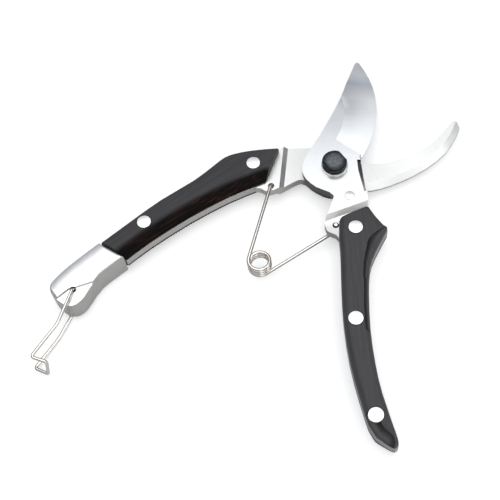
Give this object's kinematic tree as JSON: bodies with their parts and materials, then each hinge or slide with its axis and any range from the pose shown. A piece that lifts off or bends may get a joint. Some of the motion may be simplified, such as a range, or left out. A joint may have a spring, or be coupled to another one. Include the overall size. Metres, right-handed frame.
{
  "type": "bypass pruning shears",
  "caption": "Bypass pruning shears, open, with curved blade, hook jaw, torsion spring, riveted black wood scales, cast end cap and wire latch.",
  "frame": {"origin": "on the pivot axis, at the centre of the flat lower end of the pivot bolt", "axes": "+Z along the pivot axis from the nut to the bolt head; +Y roughly along the open blade; +X towards the hook jaw"},
  "size_m": [0.1899, 0.1997, 0.0165],
  "materials": {
    "blade_steel": "satin ground tool steel, grind lines across the bevel",
    "hook_steel": "satin steel, slightly warm, grind lines across the hook",
    "black_wood": "near-black dyed hardwood with faint red-brown grain, oiled satin",
    "rivet_metal": "bright, sanded flush and polished",
    "cast_cap": "cast, satin, with faint dents",
    "bolt_black": "blackened steel, slightly mottled",
    "washer_steel": "plain turned steel",
    "wire_steel": "drawn and nickel plated spring wire"
  },
  "bodies": {
    "hook_handle": {"hook_plate": "hook_steel", "hook_scale_top": "black_wood", "hook_scale_bottom": "black_wood", "hook_rivet_front_upper": "rivet_metal", "hook_rivet_front_lower": "rivet_metal", "hook_rivet_rear_upper": "rivet_metal", "hook_rivet_rear_lower": "rivet_metal", "end_cap": "cast_cap", "pivot_bolt": "bolt_black", "pivot_head_washer": "washer_steel", "pivot_nut_washer": "washer_steel", "pivot_nut": "bolt_black"},
    "blade_handle": {"blade_plate": "blade_steel", "stop_pin": "rivet_metal", "blade_scale_top": "black_wood", "blade_scale_bottom": "black_wood", "blade_rivet_front_upper": "rivet_metal", "blade_rivet_front_lower": "rivet_metal", "blade_rivet_middle_upper": "rivet_metal", "blade_rivet_middle_lower": "rivet_metal", "blade_rivet_rear_upper": "rivet_metal", "blade_rivet_rear_lower": "rivet_metal"},
    "spring_hook_side": {"spring_hook_arm": "wire_steel"},
    "spring_blade_side": {"spring_blade_arm": "wire_steel"},
    "latch": {"latch_wire": "wire_steel"}
  },
  "joints": [
    {"name": "pivot", "type": "hinge", "parent": "hook_handle", "child": "blade_handle", "pos_m": [0, 0, 0.008], "axis": [0, 0, -1], "range_deg": [0, 57], "stiffness_Nm_per_rad": 1.2, "springref_deg": -5.73},
    {"name": "spring_arm_turn", "type": "hinge", "parent": "hook_handle", "child": "spring_hook_side", "pos_m": [-0.0294, -0.0097, 0.008], "axis": [0, 0, -1], "range_deg": [0, 47]},
    {"name": "spring_coil_wind", "type": "hinge", "parent": "spring_hook_side", "child": "spring_blade_side", "pos_m": [-0.0332, -0.0498, 0.008], "axis": [0, 0, 1], "range_deg": [0, 44]},
    {"name": "latch_swing", "type": "hinge", "parent": "hook_handle", "child": "latch", "pos_m": [-0.115, -0.0664, 0.008], "axis": [0, 0, 1], "range_deg": [-28, 56]}
  ],
  "couplings": [
    {"joint": "spring_arm_turn", "follows": "pivot", "ratio": 0.8147},
    {"joint": "spring_coil_wind", "follows": "pivot", "ratio": 0.7588}
  ]
}
